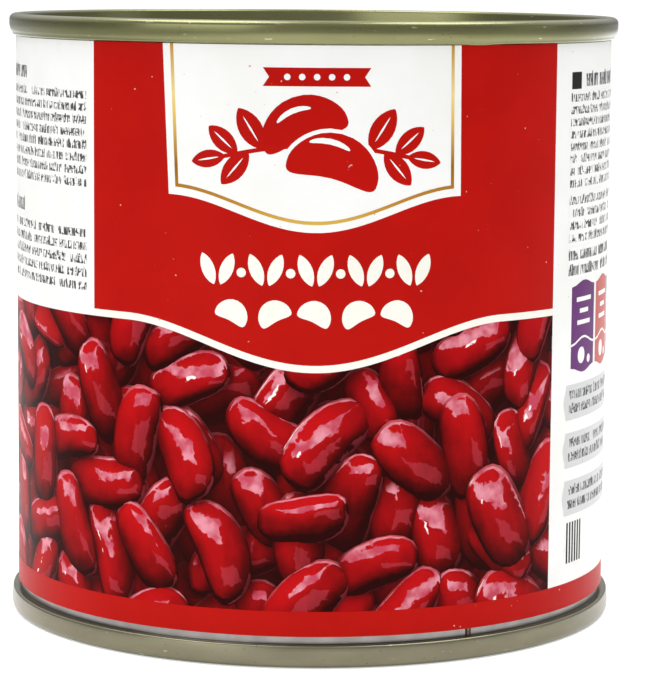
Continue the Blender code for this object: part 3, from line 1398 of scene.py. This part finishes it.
@dataclass
class PaintedBean:
    """One bean of the printed picture, as a dome over its outline, with sizes in millimetres.

    Its place is on the unrolled label, measured from the front, and its level is the height of
    its rim in the picture's own depth.
    """

    length: float
    width: float
    bend: float
    heading: float
    tilt: Spot
    tone: float
    ripple: Spot
    place: Spot = (0.0, 0.0)
    level: float = 0.0
    bluntness: float = 2.7

    def depth(self) -> float:
        """How high its dome stands."""
        return self.width * 0.46

    def surface(self, x: np.ndarray, y: np.ndarray) -> np.ndarray:
        """Find the dome's height over its rim.

        Args:
            x: Offsets from the bean's middle across the picture.
            y: Offsets from it up the picture.

        Returns:
            The heights, which are minus infinity outside the bean.
        """
        cos, sin = math.cos(self.heading), math.sin(self.heading)
        along, across = cos * x + sin * y, cos * y - sin * x
        share = along / (self.length / 2)
        off = (across + self.bend * (share**2 - 0.4)) / (self.width / 2)
        inside = 1 - (np.abs(share) ** self.bluntness + np.abs(off) ** self.bluntness) ** (2 / self.bluntness)
        lean = self.tilt[0] * along + self.tilt[1] * across
        return np.where(inside > 0, self.depth() * np.sqrt(np.maximum(inside, 0)) + lean, -np.inf)

    def blunted(self, x: float, y: float) -> tuple[float, float, float, float]:
        """Move a point of the unit disc so that the disc becomes a blunt-ended form.

        Args:
            x: The point's place along the bean.
            y: Its place across it.

        Returns:
            The moved point's x and y, and how fast the dome falls there along each.
        """
        power = self.bluntness
        reach = math.hypot(x, y)
        if reach < 1e-6:
            return 0.0, 0.0, 0.0, 0.0
        stretch = reach * (abs(x) ** power + abs(y) ** power) ** (-1 / power)
        share, off = x * stretch, y * stretch
        falls = (math.copysign(abs(way) ** (power - 1), way) * reach ** (2 - power) for way in (share, off))
        return share, off, *falls

    def dome(self) -> Shape:
        """Model the bean in the picture.

        Returns:
            The closed dome, with the way that its skin faces and its tone at each point.
        """
        shape = bmesh.new()
        bmesh.ops.create_uvsphere(shape, u_segments=24, v_segments=6, radius=1.0)
        below = [point for point in shape.verts if point.co.z < -0.01]
        bmesh.ops.delete(shape, geom=below, context="VERTS")
        bmesh.ops.holes_fill(shape, edges=[edge for edge in shape.edges if edge.is_boundary])
        bmesh.ops.recalc_face_normals(shape, faces=shape.faces)
        facing = shape.verts.layers.float_vector.new("painted_normal")
        tone = shape.verts.layers.float.new("tone")
        turn = Matrix.Rotation(self.heading, 3, "Z")
        half = Vector((self.length / 2, self.width / 2, self.depth()))
        for point in shape.verts:
            share, off, fall_along, fall_across = self.blunted(point.co.x, point.co.y)
            slope = Vector((fall_along / half.x, fall_across / half.y, point.co.z / half.z))
            slope.x += slope.y * 2 * self.bend * share / half.x - slope.z * self.tilt[0]
            slope.y -= slope.z * self.tilt[1]
            point[facing] = turn @ slope.normalized()
            point[tone] = self.tone
            around_rim = math.atan2(off, share)
            swell = 1 + sum(
                size * math.sin(count * around_rim + start)
                for size, count, start in ((0.03, 2, self.ripple[0]), (0.025, 3, self.ripple[1]))
            )
            along = half.x * share * swell
            across = half.y * off * swell - self.bend * (share * share - 0.4)
            lift = half.z * point.co.z + self.tilt[0] * along + self.tilt[1] * across
            spot = turn @ Vector((along, across, 0.0))
            point.co = (self.place[0] + spot.x, self.place[1] + spot.y, self.level + lift)
        return shape


@dataclass
class BeanHeap:
    """The picture of a heap of beans: beans dropped one by one onto a field of heights.

    Lengths are in millimetres on the unrolled label. Each bean goes to the lowest of a few random
    places, so that the heap fills evenly, and the beans that end up covered are left out.
    """

    left: float = -230.5
    right: float = 51.5
    low: float = 5.6
    high: float = 48.6
    cell: float = 0.4
    beans: int = 430
    tries: int = 14
    seed: int = 11
    sectors: int = 14
    relief: float = 0.046 * MM
    sunk: float = 2.0
    shown_cells: int = 14
    light: Spot = (-0.45, 0.89)
    directions: int = 12
    reaches: tuple[float, ...] = (0.6, 1.1, 1.8, 2.8, 4.2, 6.2)
    start: float = field(init=False)
    end: float = field(init=False)
    heights: np.ndarray = field(init=False)
    owners: np.ndarray = field(init=False)
    chance: random.Random = field(init=False)

    def __post_init__(self) -> None:
        """Lay out the empty field."""
        self.start, self.end = (math.radians(angle) * PAPER_OUTSIDE / MM for angle in (self.left, self.right))
        cells = (int((self.high - self.low) / self.cell), int((self.end - self.start) / self.cell))
        self.heights = np.zeros(cells)
        self.owners = np.full(cells, -1)
        self.chance = random.Random(self.seed)

    def build(self) -> None:
        """Drop the beans and print the ones that show, in stretches round the label."""
        placed = [self.drop(count) for count in range(self.beans)]
        seen = np.bincount(self.owners[self.owners >= 0], minlength=self.beans)
        shown = [bean for bean, cells in zip(placed, seen) if cells >= self.shown_cells]
        deepest = self.heights.max()
        LOG.info("bean picture: %d of %d beans show, %.1f mm deep", len(shown), self.beans, deepest)
        width = (self.end - self.start) / self.sectors
        for sector in range(self.sectors):
            edge = self.start + sector * width
            within = [bean for bean in shown if edge <= bean.place[0] < edge + width]
            self.print_sector(f"bean_picture_{sector + 1:02d}", within)

    def new_bean(self, where: float) -> PaintedBean:
        """Make a bean of random size and form, larger low in the picture, where the heap is nearer.

        Args:
            where: About how high in the picture it will lie.

        Returns:
            The bean, not yet placed.
        """
        chance = self.chance
        nearness = 1.16 - 0.30 * (where - self.low) / (self.high - self.low)
        length = chance.uniform(11.2, 14.6) * nearness
        return PaintedBean(
            length=length,
            width=length * chance.uniform(0.48, 0.57),
            bend=length * chance.uniform(0.0, 0.085) * chance.choice((-1, 1)),
            heading=chance.uniform(0, math.pi),
            tilt=(chance.gauss(0, 0.16), chance.gauss(0, 0.22)),
            tone=chance.random(),
            ripple=(chance.uniform(0, 6.28), chance.uniform(0, 6.28)),
        )

    def drop(self, count: int) -> PaintedBean:
        """Drop one bean at the lowest of a few places.

        Args:
            count: Its number, which marks the cells that it covers.

        Returns:
            The bean in its place.
        """
        where = self.chance.uniform(self.low, self.high)
        bean = self.new_bean(where)
        reach = int(bean.length * 0.58 / self.cell) + 1
        offsets = np.arange(-reach, reach + 1) * self.cell
        dome = bean.surface(*np.meshgrid(offsets, offsets))
        best = None
        for _ in range(self.tries):
            x = self.chance.uniform(self.start, self.end)
            y = min(max(where + self.chance.gauss(0, 5.0), self.low), self.high)
            column, row = int((x - self.start) / self.cell), int((y - self.low) / self.cell)
            window, cut = self.window(row, column, reach)
            under = self.heights[window][dome[cut] > -np.inf]
            level = float(np.percentile(under, 74)) if under.size else 0.0
            if best is None or level < best[0]:
                best = (level, x, y, window, cut)
        bean.level, x, y, window, cut = best
        bean.place = (x, y)
        top = dome[cut] + bean.level
        higher = top > self.heights[window]
        self.heights[window][higher] = top[higher]
        self.owners[window][higher] = count
        return bean

    def window(self, row: int, column: int, reach: int) -> tuple[tuple[slice, slice], tuple[slice, slice]]:
        """The part of the field round a cell, and the matching part of a bean's own square.

        Args:
            row: The cell's row.
            column: The cell's column.
            reach: Half the side of the bean's square, in cells.

        Returns:
            Slices into the field, and into the square.
        """
        field_part, own_part = [], []
        for centre, size in zip((row, column), self.heights.shape):
            start, stop = max(centre - reach, 0), min(centre + reach + 1, size)
            field_part.append(slice(start, stop))
            own_part.append(slice(start - centre + reach, stop - centre + reach))
        return tuple(field_part), tuple(own_part)

    def openness(self, points: np.ndarray) -> np.ndarray:
        """How much of the light reaches points of the picture, from 0 to 1.

        Args:
            points: Their places across, up and outwards, in millimetres.

        Returns:
            A number for each.
        """
        rows, columns = self.heights.shape
        total = np.zeros(len(points))
        weights = 0.0
        for turn in np.arange(self.directions) * 2 * math.pi / self.directions:
            direction = (math.cos(turn), math.sin(turn))
            steepest = np.zeros(len(points))
            for reach in self.reaches:
                column = ((points[:, 0] + direction[0] * reach - self.start) / self.cell).astype(int)
                row = ((points[:, 1] + direction[1] * reach - self.low) / self.cell).astype(int)
                over = self.heights[row.clip(0, rows - 1), column.clip(0, columns - 1)] - points[:, 2]
                steepest = np.maximum(steepest, over / reach)
            weight = 1.0 + 0.8 * (direction[0] * self.light[0] + direction[1] * self.light[1])
            total += weight * (1 - steepest / np.sqrt(1 + steepest**2))
            weights += weight
        return total / weights

    def print_sector(self, name: str, beans: list[PaintedBean]) -> None:
        """Print the beans of one stretch of the label as one piece.

        Args:
            name: The piece's name.
            beans: Its beans.
        """
        whole = joined(bean.dome() for bean in beans)
        parts = whole.verts[:] + whole.edges[:] + whole.faces[:]
        foot = {"plane_co": (0, self.low, 0), "plane_no": (0, 1, 0)}
        bmesh.ops.bisect_plane(whole, geom=parts, clear_inner=True, **foot)
        bmesh.ops.holes_fill(whole, edges=[edge for edge in whole.edges if edge.is_boundary])
        degrees = math.degrees(MM / PAPER_OUTSIDE)
        for point in whole.verts:
            point.co.x *= degrees
        cut_at_facets(whole)
        places = np.array([(point.co.x / degrees, point.co.y, point.co.z) for point in whole.verts])
        openness = whole.verts.layers.float.new("openness")
        relief = self.relief / (self.heights.max() + self.sunk)
        for point, light in zip(whole.verts, self.openness(places)):
            point[openness] = light
            angle, height, outward = point.co
            radius = PAPER_OUTSIDE + Layer.BEANS.value + relief * (outward + self.sunk)
            point.co = on_facets(radius, angle, height * MM)
        shade_as_wrapped(finish_piece(name, whole, BEAN_INK, crease=180.0))


# Studio


@dataclass(frozen=True)
class Softbox:
    """A rectangular soft light of an even radiance. A level one looks down, another one looks at the can."""

    name: str
    place: tuple[float, float, float]
    size: Spot
    radiance: float
    level: bool = False

    def build(self) -> None:
        """Add the light."""
        lamp = bpy.data.lights.new(self.name, "AREA")
        lamp.shape = "RECTANGLE"
        lamp.size, lamp.size_y = self.size
        lamp.energy = self.radiance * math.pi * self.size[0] * self.size[1]
        box = bpy.data.objects.new(self.name, lamp)
        box.location = self.place
        if not self.level:
            towards = Vector((0, 0, CAN_HEIGHT)) - box.location
            box.rotation_euler = towards.to_track_quat("-Z", "Y").to_euler()
        bpy.context.scene.collection.objects.link(box)


@dataclass(frozen=True)
class PhotoCamera:
    """The camera, fitted to the outlines of the seams and the label, with its angles in degrees."""

    place: tuple[float, float, float] = (0.0, -0.4170, 0.0926)
    yaw: float = 0.362
    pitch: float = 7.433
    roll: float = -0.466
    lens: float = 154.47
    sensor: float = 36.0

    def build(self) -> None:
        """Add the camera and make it the scene's."""
        yaw, pitch, roll = (math.radians(angle) for angle in (self.yaw, self.pitch, self.roll))
        forward = Vector((math.sin(yaw) * math.cos(pitch), math.cos(yaw) * math.cos(pitch), -math.sin(pitch)))
        level = Vector((math.cos(yaw), -math.sin(yaw), 0.0))
        down = forward.cross(level)
        right = math.cos(roll) * level + math.sin(roll) * down
        below = -math.sin(roll) * level + math.cos(roll) * down
        data = bpy.data.cameras.new("camera")
        data.lens = self.lens
        data.sensor_width = self.sensor
        data.clip_start = 0.01
        data.clip_end = 100.0
        camera = bpy.data.objects.new("camera", data)
        turn = Matrix((right, -below, -forward)).transposed().to_4x4()
        camera.matrix_world = Matrix.Translation(self.place) @ turn
        bpy.context.scene.collection.objects.link(camera)
        bpy.context.scene.camera = camera


@dataclass(frozen=True)
class Studio:
    """The pale floor, the soft lights and the plain colour view. The world's lights are linear greys."""

    floor_radius: float = 16.0
    horizon_front: float = 0.52
    horizon_side: float = 0.30
    top_front: float = 0.68
    top_back: float = 1.15

    def build(self) -> None:
        """Set up everything round the can, and show the colours with no film curve."""
        bpy.context.scene.view_settings.view_transform = "Standard"
        bpy.context.scene.view_settings.look = "None"
        self.add_floor()
        self.add_world()
        for box in (
            Softbox("softbox_left", (-0.355, 0.10, 0.95), (0.53, 0.70), 5.2, level=True),
            Softbox("softbox_right", (0.425, 0.10, 0.95), (0.49, 0.70), 5.2, level=True),
            Softbox("fill_left", (-1.0, -1.1, 0.42), (1.20, 0.80), 1.75),
            Softbox("fill_right", (1.25, -0.05, 0.22), (0.50, 0.30), 0.45),
        ):
            box.build()
        PhotoCamera().build()

    def add_floor(self) -> None:
        """Add a wide white floor."""
        shape = bmesh.new()
        bmesh.ops.create_circle(shape, cap_ends=True, segments=96, radius=self.floor_radius)
        mesh = bpy.data.meshes.new("floor")
        shape.to_mesh(mesh)
        shape.free()
        mesh.materials.append(LightTable().material())
        floor = bpy.data.objects.new("floor", mesh)
        bpy.context.scene.collection.objects.link(floor)

    def add_world(self) -> None:
        """Add a studio that is dim at eye level and bright overhead."""
        world = bpy.data.worlds.new("studio")
        bpy.context.scene.world = world
        world.use_nodes = True
        tree = world.node_tree
        _, depth, height = add_node(tree, "SeparateXYZ", [add_node(tree, "TexCoord")]).node.outputs
        horizon = layered(tree, grey(self.horizon_side), (depth, 0.1, -0.9, grey(self.horizon_front)))
        top = layered(tree, grey(self.top_front), (depth, -0.15, 0.45, grey(self.top_back)))
        feed(tree, tree.nodes["Background"], {"Color": layered(tree, horizon, (height, 0.0, 0.65, top))})


def main() -> None:
    """Build the can and the studio."""
    logging.basicConfig(level=logging.INFO, format="%(name)s %(message)s")
    olive_gold = LacqueredTinplate("olive_gold_lacquered_tinplate", "#76764E", "#707049", 0.28)
    grey_gold = LacqueredTinplate("grey_gold_lacquered_tinplate", "#7B7862", "#74715C", 0.30, coat=0.3)
    front = Face("front", 0.6, LEFT_PANEL[1], RIGHT_PANEL[0])
    back = Face("back", -173.5, PRINT_START, LEFT_PANEL[0])
    SeamedEnd("upper_end", "top_end", "top_lacquer", olive_gold).build()
    SeamedEnd(
        "lower_end", "bottom_end", "bottom_lacquer", grey_gold, upside_down=True, foot_inset=0.08 * MM
    ).build()
    WeldedWall().build()
    PaperLabel().build()
    BeanHeap().build()
    front.build()
    back.build()
    Panels().build(front)
    Studio().build()


if __name__ == "__main__":
    main()
